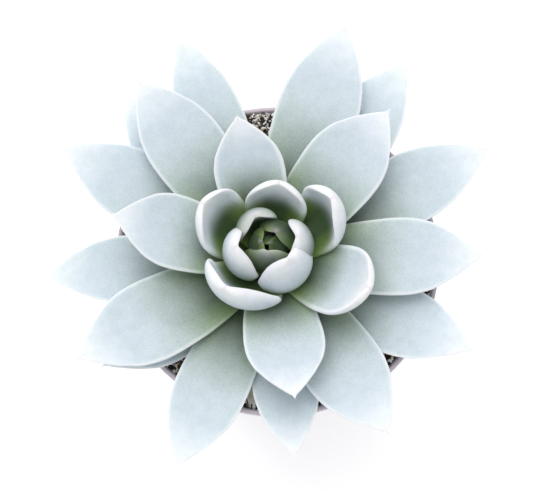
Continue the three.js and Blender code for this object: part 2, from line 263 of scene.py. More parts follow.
    # a faint lilac flush on the keel just under the hard point
    flush = addNode(tree, "ShaderNodeMapRange", {
        "Value": along, "From Min": 0.93, "From Max": 1.0, "To Min": 0.0, "To Max": bloom["flush"]})
    keel = addNode(tree, "ShaderNodeMapRange",
                   {"Value": side, "From Min": 0.05, "From Max": 0.4, "To Min": 1.0, "To Max": 0.1})
    flush = addNode(tree, "ShaderNodeMath", [flush, keel], operation="MULTIPLY")
    skin = addNode(tree, "ShaderNodeMix", {"Factor": flush, "A": skin, "B": hexColor(bloom["flushColor"])},
                   data_type="RGBA").outputs["Result"]
    relief = addNode(tree, "ShaderNodeMath", [mottle, speck], operation="ADD")
    bump = addNode(tree, "ShaderNodeBump",
                   {"Height": relief, "Strength": 0.3, "Distance": bloom["bumpDepth"] * mm})
    dull = addNode(tree, "ShaderNodeMapRange", {"Value": waxCoverAndShade, "To Min": 0.36, "To Max": 0.7})
    shader = addNode(tree, "ShaderNodeBsdfPrincipled", {
        "Base Color": skin, "Roughness": dull, "IOR": 1.45, "Normal": bump,
        "Subsurface Weight": 0.45, "Subsurface Radius": (0.8, 1.0, 0.6), "Subsurface Scale": 2.4 * mm,
        "Sheen Weight": 0.12, "Sheen Roughness": 0.5, "Specular IOR Level": 0.35})
    addNode(tree, "ShaderNodeOutputMaterial", [shader])
    return material


# One leaf. The midrib bends up from base to tip through a knee, the blade wraps round it by the cup angle,
# and two curves give its outline and its thickness from base to tip.
leafShape = {
    "rings": 84, "around": 56,
    "pointed": [(0, 0.5), (0.15, 0.69), (0.3, 0.854), (0.45, 0.962), (0.6, 1), (0.7, 0.924),
                (0.8, 0.705), (0.9, 0.36), (0.95, 0.15), (0.975, 0.045), (0.99, 0.022), (1, 0.008)],
    "blunt": [(0, 0.5), (0.15, 0.69), (0.3, 0.854), (0.45, 0.962), (0.6, 1), (0.72, 0.98),
              (0.82, 0.92), (0.9, 0.8), (0.95, 0.63), (0.98, 0.4), (0.995, 0.18), (1, 0.01)],
    "thickness": [(0, 0.62), (0.15, 0.81), (0.3, 0.97), (0.5, 0.95), (0.7, 0.83), (0.85, 0.62),
                  (0.95, 0.36), (0.975, 0.2), (1, 0.04)],
    "fleshy": [(0, 0.62), (0.15, 0.81), (0.3, 0.97), (0.5, 1), (0.7, 0.95), (0.85, 0.82),
               (0.95, 0.6), (0.985, 0.4), (1, 0.08)],
    "upperShare": 0.3, "upperShareYoung": 0.5, "margin": 0.9, "marginYoung": 1.0, "waveSize": 14,
    "crowding": 1.35, "startClose": 400.0, "endClose": 4000.0, "openBase": 0.45, "openFrom": 0.6}


def setCurve(node, points):
    curve = node.mapping.curves[0]
    while len(curve.points) < len(points):
        curve.points.new(0.5, 0.5)
    for point, (x, y) in zip(curve.points, points):
        point.location = (x, y)
    node.mapping.update()
    return node


def leafTree():
    labels = ["Azimuth", "Base Out", "Base Up", "Tip Out", "Tip Up", "Width", "Thickness", "Lift", "Belly",
              "Cup", "Sweep", "Blunt", "Youth", "Wave", "Seed"]
    sockets = [("Stem", "Vector"), ("Skin", "Material")] + [(label, "Float") for label in labels]
    tree, given = newTree("rosetteLeaf", sockets)
    numbers, vectors = "ShaderNodeMath", "ShaderNodeVectorMath"
    grid = addNode(tree, "GeometryNodeMeshGrid", {
        "Size X": 1.0, "Size Y": 1.0,
        "Vertices X": leafShape["around"] + 1, "Vertices Y": leafShape["rings"]})
    flat = addNode(tree, "ShaderNodeSeparateXYZ", [addNode(tree, "GeometryNodeInputPosition")])
    turn = addNode(tree, numbers, [flat.outputs["X"], 2 * math.pi], operation="MULTIPLY")
    across = addNode(tree, numbers, [turn], operation="COSINE")
    face = addNode(tree, numbers, [turn], operation="SINE")
    # rings crowd towards the tip
    run = addNode(tree, numbers, [0.5, flat.outputs["Y"]], operation="SUBTRACT")
    run = addNode(tree, numbers, [run, leafShape["crowding"]], operation="POWER")
    along = addNode(tree, numbers, [1.0, run], operation="SUBTRACT")
    # the ends close to a point
    startGap = addNode(tree, numbers, [along, leafShape["startClose"]], operation="MULTIPLY", use_clamp=True)
    endGap = addNode(tree, numbers, [run, leafShape["endClose"]], operation="MULTIPLY", use_clamp=True)
    closing = addNode(tree, numbers, [startGap, endGap], operation="MULTIPLY")
    # midrib: base, knee and tip in the leaf's own upright plane
    base = addNode(tree, "ShaderNodeCombineXYZ", {"X": given["Base Out"], "Z": given["Base Up"]})
    tip = addNode(tree, "ShaderNodeCombineXYZ", {"X": given["Tip Out"], "Z": given["Tip Up"]})
    chord = addNode(tree, vectors, [base, tip], operation="DISTANCE").outputs["Value"]
    reach = addNode(tree, numbers, [chord, given["Belly"]], operation="MULTIPLY")
    heading = addNode(tree, "ShaderNodeCombineXYZ", {
        "X": addNode(tree, numbers, [given["Lift"]], operation="COSINE"),
        "Z": addNode(tree, numbers, [given["Lift"]], operation="SINE")})
    kneeStep = addNode(tree, vectors, {0: heading, "Scale": reach}, operation="SCALE")
    knee = addNode(tree, vectors, [base, kneeStep], operation="ADD")
    lower = addNode(tree, "ShaderNodeMix", {"Factor": along, "A": base, "B": knee}, data_type="VECTOR")
    upper = addNode(tree, "ShaderNodeMix", {"Factor": along, "A": knee, "B": tip}, data_type="VECTOR")
    rib = addNode(tree, "ShaderNodeMix", {"Factor": along, "A": lower, "B": upper}, data_type="VECTOR")
    tangent = addNode(tree, vectors, [addNode(tree, vectors, [upper, lower], operation="SUBTRACT")],
                      operation="NORMALIZE")
    ahead = addNode(tree, "ShaderNodeSeparateXYZ", [tangent])
    falling = addNode(tree, numbers, [ahead.outputs["Z"], -1.0], operation="MULTIPLY")
    normal = addNode(tree, "ShaderNodeCombineXYZ", {"X": falling, "Z": ahead.outputs["X"]})
    # section: an arc as wide as the outline says, wrapped by the cup angle
    pointed = setCurve(addNode(tree, "ShaderNodeFloatCurve", {"Value": along}), leafShape["pointed"])
    blunt = setCurve(addNode(tree, "ShaderNodeFloatCurve", {"Value": along}), leafShape["blunt"])
    outline = addNode(tree, "ShaderNodeMix", {"Factor": given["Blunt"], "A": pointed, "B": blunt},
                      data_type="FLOAT")
    half = addNode(tree, numbers, [given["Width"], 0.5], operation="MULTIPLY")
    half = addNode(tree, numbers, [half, outline], operation="MULTIPLY")
    half = addNode(tree, numbers, [half, closing], operation="MULTIPLY")
    opening = addNode(tree, "ShaderNodeMapRange", {
        "Value": along, "From Max": leafShape["openFrom"], "To Min": leafShape["openBase"], "To Max": 1.0},
        interpolation_type="SMOOTHSTEP")
    wrap = addNode(tree, numbers, [given["Cup"], opening], operation="MULTIPLY")
    arc = addNode(tree, numbers, [half, wrap], operation="DIVIDE")
    swing = addNode(tree, numbers, [across, wrap], operation="MULTIPLY")
    # thickness: full in the middle, thin at the margins, more of it below than above
    lean = setCurve(addNode(tree, "ShaderNodeFloatCurve", {"Value": along}), leafShape["thickness"])
    fleshy = setCurve(addNode(tree, "ShaderNodeFloatCurve", {"Value": along}), leafShape["fleshy"])
    body = addNode(tree, "ShaderNodeMix", {"Factor": given["Blunt"], "A": lean, "B": fleshy},
                   data_type="FLOAT")
    body = addNode(tree, numbers, [body, given["Thickness"]], operation="MULTIPLY")
    body = addNode(tree, numbers, [body, closing], operation="MULTIPLY")
    roundness = addNode(tree, "ShaderNodeMapRange", {
        "Value": given["Blunt"], "To Min": leafShape["margin"], "To Max": leafShape["marginYoung"]})
    fullness = addNode(tree, numbers, [addNode(tree, numbers, [face], operation="ABSOLUTE"), roundness],
                       operation="POWER")
    isUpper = addNode(tree, numbers, [face, 0.0], operation="GREATER_THAN")
    above = addNode(tree, "ShaderNodeMapRange", {
        "Value": given["Blunt"], "To Min": leafShape["upperShare"], "To Max": leafShape["upperShareYoung"]})
    share = addNode(tree, numbers, [addNode(tree, numbers, [isUpper, -1.0], operation="ADD"), above],
                    operation="ADD")
    depth = addNode(tree, numbers, [addNode(tree, numbers, [body, fullness], operation="MULTIPLY"), share],
                    operation="MULTIPLY")
    radius = addNode(tree, numbers, [arc, depth], operation="SUBTRACT")
    raised = addNode(tree, numbers, [radius, addNode(tree, numbers, [swing], operation="COSINE")],
                     operation="MULTIPLY")
    raised = addNode(tree, numbers, [arc, raised], operation="SUBTRACT")
    lateral = addNode(tree, numbers, [radius, addNode(tree, numbers, [swing], operation="SINE")],
                      operation="MULTIPLY")
    drift = addNode(tree, numbers, [along, 2.0], operation="POWER")
    lateral = addNode(tree, numbers, [drift, given["Sweep"], lateral], operation="MULTIPLY_ADD")
    point = addNode(tree, vectors, {0: normal, "Scale": raised}, operation="SCALE")
    point = addNode(tree, vectors, [point, rib], operation="ADD")
    point = addNode(tree, vectors, [point, addNode(tree, "ShaderNodeCombineXYZ", {"Y": lateral})],
                    operation="ADD")
    point = addNode(tree, "ShaderNodeVectorRotate", {"Vector": point, "Angle": given["Azimuth"]},
                    rotation_type="Z_AXIS")
    point = addNode(tree, vectors, [point, given["Stem"]], operation="ADD")
    shape = grid.outputs["Mesh"]
    shape = addNode(tree, "GeometryNodeStoreNamedAttribute", {
        "Geometry": shape, "Name": "UVMap", "Value": grid.outputs["UV Map"]},
        data_type="FLOAT2", domain="CORNER")
    for name, value in (("along", along), ("across", across), ("face", face), ("youth", given["Youth"])):
        shape = addNode(tree, "GeometryNodeStoreNamedAttribute", {
            "Geometry": shape, "Name": name, "Value": value}, data_type="FLOAT", domain="POINT")
    shape = addNode(tree, "GeometryNodeSetPosition", {"Geometry": shape, "Position": point})
    shape = addNode(tree, "GeometryNodeMergeByDistance", {"Geometry": shape, "Distance": 0.004 * mm})
    # slow swells of the living blade
    swell = addNode(tree, "ShaderNodeTexNoise", {
        "W": given["Seed"], "Scale": 1 / (leafShape["waveSize"] * mm), "Detail": 1.0},
        noise_dimensions="4D")
    swell = addNode(tree, numbers, [swell, 0.5], operation="SUBTRACT")
    swell = addNode(tree, numbers, [swell, given["Wave"]], operation="MULTIPLY")
    thin = addNode(tree, "GeometryNodeInputNamedAttribute", {"Name": "along"}, data_type="FLOAT")
    taper = addNode(tree, "ShaderNodeMapRange", {
        "Value": thin, "From Min": 0.7, "From Max": 1.0, "To Min": 1.0, "To Max": 0.0})
    swell = addNode(tree, numbers, [swell, taper], operation="MULTIPLY")
    push = addNode(tree, vectors, {0: addNode(tree, "ShaderNodeCombineXYZ", {"Z": 1.0}), "Scale": swell},
                   operation="SCALE")
    shape = addNode(tree, "GeometryNodeSetPosition", {"Geometry": shape, "Offset": push})
    shape = addNode(tree, "GeometryNodeSetShadeSmooth", {"Geometry": shape})
    shape = addNode(tree, "GeometryNodeRealizeInstances", {"Geometry": shape})
    shape = addNode(tree, "GeometryNodeSetMaterial", {"Geometry": shape, "Material": given["Skin"]})
    addNode(tree, "NodeGroupOutput", [shape])
    return tree


# The spiral: the oldest leaf first, each next one the same turn further round the stem.
# Lengths in mm and angles in degrees, as (turn off the spiral, reach, rise, width, lift, belly, cup, sweep,
# bluntness of the outline).
rosette = {"firstAzimuth": -139, "spiralAngle": 138, "crownLow": -1.5, "crownRise": 16,
           "stemRadiusLow": 7, "stemRadiusTop": 0.7, "thicknessRatio": 0.16, "thicknessMost": 4.2,
           "fleshy": 1.25, "youngFrom": 18, "heartFrom": 24, "wave": 0.7, "seedStep": 7.3}
leaves = [
    (-6.3, 64, 7, 23, 3, 0.5, 12, 0, 0),
    (2, 68, 8, 24, 3, 0.5, 12, 0, 0),
    (-6, 74, 8, 24.5, 3, 0.5, 12, 0, 0),
    (2, 66, 8, 21, 3, 0.5, 12, 0, 0),
    (2.6, 82.5, 9, 24.3, 3, 0.5, 12, 0, 0),
    (-7.5, 72.5, 10, 22.3, 3, 0.5, 12, 3, 0),
    (2.5, 72, 10.5, 23.8, 3, 0.5, 12, 2.5, 0),
    (5.3, 82, 12, 22, 3, 0.5, 12, -1, 0),
    (2.3, 75.5, 12, 23, 2, 0.5, 12, 0, 0),
    (3.5, 81, 12, 24.6, 2, 0.5, 12, 0, 0),
    (-9, 76.5, 14, 25, 2, 0.5, 12, 0, 0),
    (3, 70, 14, 26, 3, 0.5, 12, 0, 0),
    (-5.2, 83, 16, 27.2, 3, 0.5, 14, 0, 0),
    (-3.5, 70, 17, 27, 4, 0.5, 14, 0, 0),
    (4.7, 68, 17, 26, 5, 0.5, 15, 0, 0),
    (-3.5, 71, 20, 25.8, 6, 0.5, 16, 0, 0),
    (10, 50, 21, 25.5, 8, 0.5, 20, 0, 0),
    (2, 59, 22, 27, 8, 0.5, 20, 0, 0),
    (-15, 50, 23, 25, 8, 0.5, 22, 0, 0),
    (11, 34.5, 25.5, 26, 0, 0.72, 42, -1, 0.9),
    (3, 42, 25, 23.5, 10, 0.5, 30, 0, 0.15),
    (1, 20, 24.5, 30, -4, 0.88, 60, -4, 0.9),
    (11, 23, 27, 24.5, 0, 1, 60, 2, 0.9),
    (-1, 23.5, 26, 23.5, 0, 0.75, 48, -1, 0.9),
    (15, 9, 28, 24.5, -8, 0.92, 70, 0, 0.8),
    (9, 17.5, 28, 22, 5, 0.75, 50, 0, 0.85),
    (-12, 10.2, 27, 23, -5, 0.88, 78, 0, 0.8),
    (15, 8.5, 26.5, 21, 0, 1, 70, 0, 1),
    (-2, 8, 27, 18.5, 0, 0.92, 75, 0, 1),
    (0, 3.5, 23.5, 18, -5, 0.78, 70, 0, 0.6),
    (12, 3, 24, 17, 0, 1.1, 75, 0, 0.6),
    (6, 2.2, 23.5, 15, 10, 0.66, 58, 0, 0.6),
    (28, 0, 22, 11, 20, 0.9, 75, 0, 0.3),
    (-11, -0.8, 22, 11, 30, 0.6, 60, 0, 0.3),
]


def growLeaves(tree, skin):
    young, youngest = rosette["youngFrom"], len(leaves) - 1
    for index, (turn, reach, rise, width, lift, belly, cup, sweep, blunt) in enumerate(leaves):
        age = index / youngest
        name = f"leaf_{index + 1:02d}"
        piece = linkObject("blade_" + name[5:], bpy.data.meshes.new(name))
        azimuth = rosette["firstAzimuth"] + rosette["spiralAngle"] * index + turn
        thickness = min(rosette["thicknessMost"], rosette["thicknessRatio"] * width)
        baseOut = rosette["stemRadiusLow"] * (1 - age) + rosette["stemRadiusTop"] * age
        bakeNodes(piece, tree, {
            "Stem": (stemX, stemY, rimHeight), "Skin": skin, "Azimuth": math.radians(azimuth % 360),
            "Base Out": baseOut * mm, "Base Up": (rosette["crownLow"] + rosette["crownRise"] * age) * mm,
            "Tip Out": reach * mm, "Tip Up": rise * mm, "Width": width * mm,
            "Thickness": thickness * (1 + (rosette["fleshy"] - 1) * blunt) * mm,
            "Lift": math.radians(lift), "Belly": float(belly), "Cup": math.radians(cup), "Sweep": sweep * mm,
            "Blunt": float(blunt), "Youth": max(0.0, (index - young) / (youngest - young)),
            "Wave": rosette["wave"] * mm, "Seed": index * rosette["seedStep"]})
        facesOut(piece)
        handOver(piece, "heart_skin" if index >= rosette["heartFrom"] else "leaf_skin", name)
    print("leaves grown:", len(leaves))


def facesOut(piece):
    work = bmesh.new()
    work.from_mesh(piece.data)
    bmesh.ops.recalc_face_normals(work, faces=work.faces)
    work.to_mesh(piece.data)
    work.free()


rosetteTree = leafTree()
growLeaves(rosetteTree, bloomedLeafSkin())


# Turns a profile round the pot's axis: each row is radius, height and corner rounding in mm, from the axis
# underneath, round the outside and back to the axis
def lathe(name, profile, sides, cornerSteps=5):
    corners = [Vector((radius, height)) * mm for radius, height, rounding in profile]
    path = [corners[0]]
    for i in range(1, len(corners) - 1):
        here, rounding = corners[i], profile[i][2] * mm
        before, after = corners[i - 1] - here, corners[i + 1] - here
        reach = min(rounding, before.length * 0.45, after.length * 0.45)
        if reach == 0:
            path.append(here)
            continue
        start, end = here + before.normalized() * reach, here + after.normalized() * reach
        for step in range(cornerSteps + 1):
            t = step / cornerSteps
            path.append(start * (1 - t) ** 2 + here * 2 * t * (1 - t) + end * t ** 2)
    path.append(corners[-1])
    work = bmesh.new()
    rings = []
    for spot in path:
        if spot.x < 1e-6:
            rings.append([work.verts.new((0, 0, spot.y))] * sides)
            continue
        turns = [2 * math.pi * i / sides for i in range(sides)]
        rings.append([work.verts.new((spot.x * math.cos(t), spot.x * math.sin(t), spot.y)) for t in turns])
    for lower, upper in zip(rings, rings[1:]):
        for i in range(sides):
            j = (i + 1) % sides
            corner = [lower[i], lower[j], upper[j], upper[i]]
            work.faces.new(list(dict.fromkeys(corner)))
    bmesh.ops.recalc_face_normals(work, faces=work.faces)
    mesh = bpy.data.meshes.new(name)
    work.to_mesh(mesh)
    work.free()
    mesh.shade_smooth()
    return linkObject(name, mesh)


# Pot: a thin moulded nursery cup, tapered, with a narrow lip and six drain holes
pot = {"foot": 33.5, "wall": 1.3, "floor": 1.8, "lip": 2, "step": 1.2, "sides": 180,
       "holes": 6, "holeRadius": 3, "holeCircle": 25, "color": "#bdb7c3", "warmEdge": "#d6c6c9",
       "dust": "#a79f97", "dustSize": 16, "dustTop": 40, "scuff": "#e4e1ea", "scuffSize": 5,
       "lineSize": 1.1, "wornTop": 1.2}
rim, top = rimRadius / mm, rimHeight / mm
shoulder = top - pot["lip"]


def wallRadius(height):
    return pot["foot"] + (rim - pot["step"] - pot["foot"]) * height / shoulder


def makePot():
    wall, floor = pot["wall"], pot["floor"]
    body = lathe("potBody", [
        (0, 0.35, 0), (wallRadius(0) - 6, 0.35, 0.6), (wallRadius(0) - 5.2, 0, 0.3),
        (wallRadius(0), 0, 1.8), (wallRadius(shoulder), shoulder, 0.25), (rim, shoulder + 0.2, 0.3),
        (rim, top, 0.6), (rim - wall, top, 0.6), (wallRadius(shoulder) - wall, shoulder - 1.5, 0.8),
        (wallRadius(floor) - wall, floor, 1.5), (0, floor, 0)], pot["sides"])
    work = bmesh.new()
    for i in range(pot["holes"]):
        turn = math.radians((i + 0.5) * 360 / pot["holes"])
        place = Vector((math.cos(turn), math.sin(turn), 0)) * pot["holeCircle"] * mm
        bmesh.ops.create_cone(work, cap_ends=True, segments=40, radius1=pot["holeRadius"] * mm,
                              radius2=pot["holeRadius"] * mm, depth=4 * floor * mm,
                              matrix=Matrix.Translation(place))
    punchMesh = bpy.data.meshes.new("holePunch")
    work.to_mesh(punchMesh)
    work.free()
    punch = linkObject("holePunch", punchMesh)
    cut = body.modifiers.new("drainHoles", "BOOLEAN")
    cut.object = punch
    cut.solver = "EXACT"
    bpy.context.view_layer.update()
    evaluated = body.evaluated_get(bpy.context.evaluated_depsgraph_get())
    mesh = bpy.data.meshes.new_from_object(evaluated)
    body.modifiers.remove(cut)
    bpy.data.objects.remove(punch)
    body.data = mesh
    mesh.set_sharp_from_angle(angle=math.radians(50))
    mesh.materials.clear()
    mesh.materials.append(potPlastic())
    handOver(body, "pot_plastic", "pot")
    print("pot made")


# Thin polypropylene: satin grey-lilac, lighter and rosier on the worn lip, dusty low down, with faint
# draw lines from the mould running up the wall
def potPlastic():
    material, tree = newMaterial("satinPolypropylene")
    place = addNode(tree, "ShaderNodeTexCoord").outputs["Object"]
    spot = addNode(tree, "ShaderNodeSeparateXYZ", [place])
    dust = addNode(tree, "ShaderNodeTexNoise",
                   {"Vector": place, "Scale": 1 / (pot["dustSize"] * mm), "Detail": 6.0, "Roughness": 0.65})
    stretched = addNode(tree, "ShaderNodeMapping", {"Vector": place, "Scale": (1.0, 1.0, 0.06)})
    draw = addNode(tree, "ShaderNodeTexNoise",
                   {"Vector": stretched, "Scale": 1 / (pot["lineSize"] * mm), "Detail": 2.0})
    scuff = addNode(tree, "ShaderNodeTexNoise",
                    {"Vector": place, "Scale": 1 / (pot["scuffSize"] * mm), "Detail": 8.0, "Roughness": 0.75})
    low = addNode(tree, "ShaderNodeMapRange", {
        "Value": spot.outputs["Z"], "From Min": 0.0, "From Max": pot["dustTop"] * mm,
        "To Min": 0.55, "To Max": 0.12})
    dusty = addNode(tree, "ShaderNodeMapRange", {"Value": dust, "From Min": 0.42, "From Max": 0.7})
    dusty = addNode(tree, "ShaderNodeMath", [dusty, low], operation="MULTIPLY")
    color = addNode(tree, "ShaderNodeMix", {
        "Factor": dusty, "A": hexColor(pot["color"]), "B": hexColor(pot["dust"])},
        data_type="RGBA").outputs["Result"]
    lip = addNode(tree, "ShaderNodeMapRange", {
        "Value": spot.outputs["Z"], "From Min": (top - pot["wornTop"]) * mm, "From Max": top * mm,
        "To Max": 0.6})
    color = addNode(tree, "ShaderNodeMix", {"Factor": lip, "A": color, "B": hexColor(pot["warmEdge"])},
                    data_type="RGBA").outputs["Result"]
    worn = addNode(tree, "ShaderNodeMapRange", {
        "Value": scuff, "From Min": 0.56, "From Max": 0.7, "To Max": 0.3})
    color = addNode(tree, "ShaderNodeMix", {"Factor": worn, "A": color, "B": hexColor(pot["scuff"])},
                    data_type="RGBA").outputs["Result"]
    dull = addNode(tree, "ShaderNodeMapRange", {"Value": scuff, "From Min": 0.3, "From Max": 0.7,
                                                "To Min": 0.38, "To Max": 0.6})
    dull = addNode(tree, "ShaderNodeMath", [dusty, 0.3, dull], operation="MULTIPLY_ADD")
    relief = addNode(tree, "ShaderNodeMath", [scuff, 0.4, draw], operation="MULTIPLY_ADD")
    bump = addNode(tree, "ShaderNodeBump", {"Height": relief, "Strength": 0.25, "Distance": 0.05 * mm})
    shader = addNode(tree, "ShaderNodeBsdfPrincipled", {
        "Base Color": color, "Roughness": dull, "Normal": bump, "IOR": 1.49,
        "Subsurface Weight": 0.12, "Subsurface Radius": (1.0, 0.9, 0.9), "Subsurface Scale": 1.0 * mm})
    addNode(tree, "ShaderNodeOutputMaterial", [shader])
    return material


makePot()

# Potting mix: dark peat filling the pot, with mineral grit scattered over and pressed into its top
soil = {"sides": 200, "rings": 90, "lumpSize": 5, "lumpDepth": 0.9, "crumbSize": 1.6, "crumbDepth": 0.5,
        "dish": 2, "dishRadius": 20, "bankRadius": 42, "heap": 2, "heapWidth": 9, "heapSide": (0.4, 1),
        "clearance": 0.2, "sink": 0.6, "lumpMost": 0.35, "gritDepth": 4.5, "gritSlope": 0.2,
        "peatDark": "#1a1613", "peat": "#2b2521", "peatLight": "#4f463d"}
soilTop = soilHigh.z / mm


def makeSoil():
    inside = pot["wall"] + soil["clearance"]
    bottom = pot["floor"] + soil["clearance"]
    edge = rim - pot["wall"] - 0.75
    rows = [(0, bottom, 0), (wallRadius(pot["floor"]) - inside - 1.2, bottom, 1),
            (wallRadius(shoulder) - inside, shoulder - 1.5, 0.2), (edge, soilTop - 0.3, 0.2)]
    for i in range(soil["rings"]):
        radius = (edge - 0.4) * (1 - i / soil["rings"])
        rise = min(1, max(0, (radius - soil["dishRadius"]) / (soil["bankRadius"] - soil["dishRadius"])))
        rows.append((radius, soilTop - soil["dish"] * (1 - rise * rise * (3 - 2 * rise)), 0))
    rows.append((0, soilTop - soil["dish"], 0))
    body = lathe("peatBody", rows, soil["sides"])
    heapSide = Vector(soil["heapSide"]).normalized()
    for vert in body.data.vertices:
        if vert.co.z < (soilTop - soil["dish"] - 0.1) * mm:
            continue
        lump = noise.noise(vert.co / (soil["lumpSize"] * mm)) * soil["lumpDepth"]
        crumb = noise.turbulence(vert.co / (soil["crumbSize"] * mm), 3, False) * soil["crumbDepth"]
        # the mix is heaped against the wall at the back and right
        nearWall = max(0, 1 - abs(edge - 1.5 - vert.co.xy.length / mm) / soil["heapWidth"])
        heap = soil["heap"] * nearWall * max(0, vert.co.xy.normalized().dot(heapSide))
        vert.co.z += (min(soil["lumpMost"], lump) + crumb - soil["sink"] + heap) * mm
    body.data.materials.append(peat())
    handOver(body, "soil_mix", "soil")
    print("soil filled")
    return body


# Moist peat: near black, matte, with lighter fibres and crumbs
def peat():
    material, tree = newMaterial("moistPeat")
    place = addNode(tree, "ShaderNodeTexCoord").outputs["Object"]
    crumbs = addNode(tree, "ShaderNodeTexNoise",
                     {"Vector": place, "Scale": 1 / (0.9 * mm), "Detail": 6.0, "Roughness": 0.7})
    fibres = addNode(tree, "ShaderNodeTexVoronoi", {"Vector": place, "Scale": 1 / (1.4 * mm)})
    color = setRamp(addNode(tree, "ShaderNodeValToRGB", [crumbs]), [
        (0.35, soil["peatDark"]), (0.52, soil["peat"]), (0.68, soil["peatLight"])])
    relief = addNode(tree, "ShaderNodeMath", [crumbs, fibres.outputs["Distance"]], operation="ADD")
    bump = addNode(tree, "ShaderNodeBump", {"Height": relief, "Strength": 0.9, "Distance": 0.35 * mm})
    wet = addNode(tree, "ShaderNodeMapRange", {"Value": crumbs, "To Min": 0.75, "To Max": 1.0})
    shader = addNode(tree, "ShaderNodeBsdfPrincipled", {
        "Base Color": color, "Roughness": wet, "Normal": bump, "Specular IOR Level": 0.25})
    addNode(tree, "ShaderNodeOutputMaterial", [shader])
    return material


# Grit: angular crushed grains. Sizes in mm, count per square cm.
gritKinds = {
    "gritPumice": {"perCm2": 60, "small": 1.0, "large": 2.0, "seed": 3,
                   "light": "#f3f0ec", "dark": "#bdb8b4"},
    "gritTan": {"perCm2": 22, "small": 0.8, "large": 1.6, "seed": 11,
                "light": "#e6d8b6", "dark": "#b4966d"},
    "gritDark": {"perCm2": 24, "small": 0.8, "large": 1.7, "seed": 23,
                 "light": "#5b5757", "dark": "#2a2728"},
    "gritFines": {"perCm2": 40, "small": 0.4, "large": 0.9, "seed": 37,
                  "light": "#d8d3cd", "dark": "#85807b"}}


def gritTree():
    tree, given = newTree("gritScatter", [
        ("Geometry", "Geometry"), ("Per Area", "Float"), ("Small", "Float"), ("Large", "Float"),
        ("Seed", "Int"), ("Stone", "Material")])
    numbers, vectors = "ShaderNodeMath", "ShaderNodeVectorMath"
    facing = addNode(tree, "ShaderNodeSeparateXYZ", [addNode(tree, "GeometryNodeInputNormal")])
    height = addNode(tree, "ShaderNodeSeparateXYZ", [addNode(tree, "GeometryNodeInputPosition")])
    onTop = addNode(tree, "FunctionNodeCompare", [height.outputs["Z"], (soilTop - soil["gritDepth"]) * mm],
                    data_type="FLOAT", operation="GREATER_THAN")
    levelled = addNode(tree, "FunctionNodeCompare", [facing.outputs["Z"], soil["gritSlope"]],
                       data_type="FLOAT", operation="GREATER_THAN")
    both = addNode(tree, "FunctionNodeBooleanMath", [onTop, levelled], operation="AND")
    scatter = addNode(tree, "GeometryNodeDistributePointsOnFaces", {
        "Mesh": given["Geometry"], "Selection": both, "Density": given["Per Area"], "Seed": given["Seed"]})
    grain = addNode(tree, "GeometryNodeMeshIcoSphere", {"Radius": 0.5, "Subdivisions": 1})
    chip = addNode(tree, "FunctionNodeRandomValue", {
        "Min": (-0.16, -0.16, -0.16), "Max": (0.16, 0.16, 0.16), "Seed": given["Seed"]},
        data_type="FLOAT_VECTOR")
    grain = addNode(tree, "GeometryNodeSetPosition", {"Geometry": grain.outputs["Mesh"], "Offset": chip})
    turn = addNode(tree, "FunctionNodeRandomValue", {"Max": (6.28, 6.28, 6.28), "Seed": given["Seed"]},
                   data_type="FLOAT_VECTOR")
    pick = addNode(tree, "FunctionNodeRandomValue", {"Seed": given["Seed"]}, data_type="FLOAT")
    # more small grains than large ones
    pick = addNode(tree, numbers, [pick, 2.0], operation="POWER")
    size = addNode(tree, "ShaderNodeMix", {"Factor": pick, "A": given["Small"], "B": given["Large"]},
                   data_type="FLOAT")
    squash = addNode(tree, "FunctionNodeRandomValue", {"Min": (0.75, 0.6, 0.55), "Max": (1.2, 1.0, 0.9)},
                     data_type="FLOAT_VECTOR")
    scale = addNode(tree, vectors, {0: squash, "Scale": size}, operation="SCALE")
    stones = addNode(tree, "GeometryNodeInstanceOnPoints", {
        "Points": scatter.outputs["Points"], "Instance": grain, "Rotation": turn, "Scale": scale})
    tone = addNode(tree, "FunctionNodeRandomValue", {"Seed": 5}, data_type="FLOAT")
    stones = addNode(tree, "GeometryNodeStoreNamedAttribute", {
        "Geometry": stones, "Name": "tone", "Value": tone}, data_type="FLOAT", domain="INSTANCE")
    stones = addNode(tree, "GeometryNodeRealizeInstances", {"Geometry": stones})
    stones = addNode(tree, "GeometryNodeSetMaterial", {"Geometry": stones, "Material": given["Stone"]})
    addNode(tree, "NodeGroupOutput", [stones])
    return tree


# Crushed mineral: each grain its own tone, dusty and pitted
def gritStone(name, kind):
    material, tree = newMaterial(name + "Stone")
    place = addNode(tree, "ShaderNodeTexCoord").outputs["Object"]
    tone = addNode(tree, "ShaderNodeAttribute", attribute_name="tone").outputs["Fac"]
    pits = addNode(tree, "ShaderNodeTexNoise",
                   {"Vector": place, "Scale": 1 / (0.35 * mm), "Detail": 4.0, "Roughness": 0.7})
    spread = addNode(tree, "ShaderNodeMath", [pits, 0.5, tone], operation="MULTIPLY_ADD")
    color = setRamp(addNode(tree, "ShaderNodeValToRGB", [spread]), [
        (0.2, kind["dark"]), (0.95, kind["light"])])
    bump = addNode(tree, "ShaderNodeBump", {"Height": pits, "Strength": 0.7, "Distance": 0.12 * mm})
    dull = addNode(tree, "ShaderNodeMapRange", {"Value": pits, "To Min": 0.7, "To Max": 0.95})
    shader = addNode(tree, "ShaderNodeBsdfPrincipled", {
        "Base Color": color, "Roughness": dull, "Normal": bump, "Specular IOR Level": 0.3})
    addNode(tree, "ShaderNodeOutputMaterial", [shader])
    return material


def scatterGrit(bed):
    tree = gritTree()
    for name, kind in gritKinds.items():
        piece = linkObject(name, bed.data.copy())
        bakeNodes(piece, tree, {
            "Per Area": kind["perCm2"] * 1e4, "Small": kind["small"] * mm, "Large": kind["large"] * mm,
            "Seed": kind["seed"], "Stone": gritStone(name, kind)})
        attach(piece, "root")
        print(name, len(piece.data.polygons), "faces")


peatBed = makeSoil()
scatterGrit(peatBed)

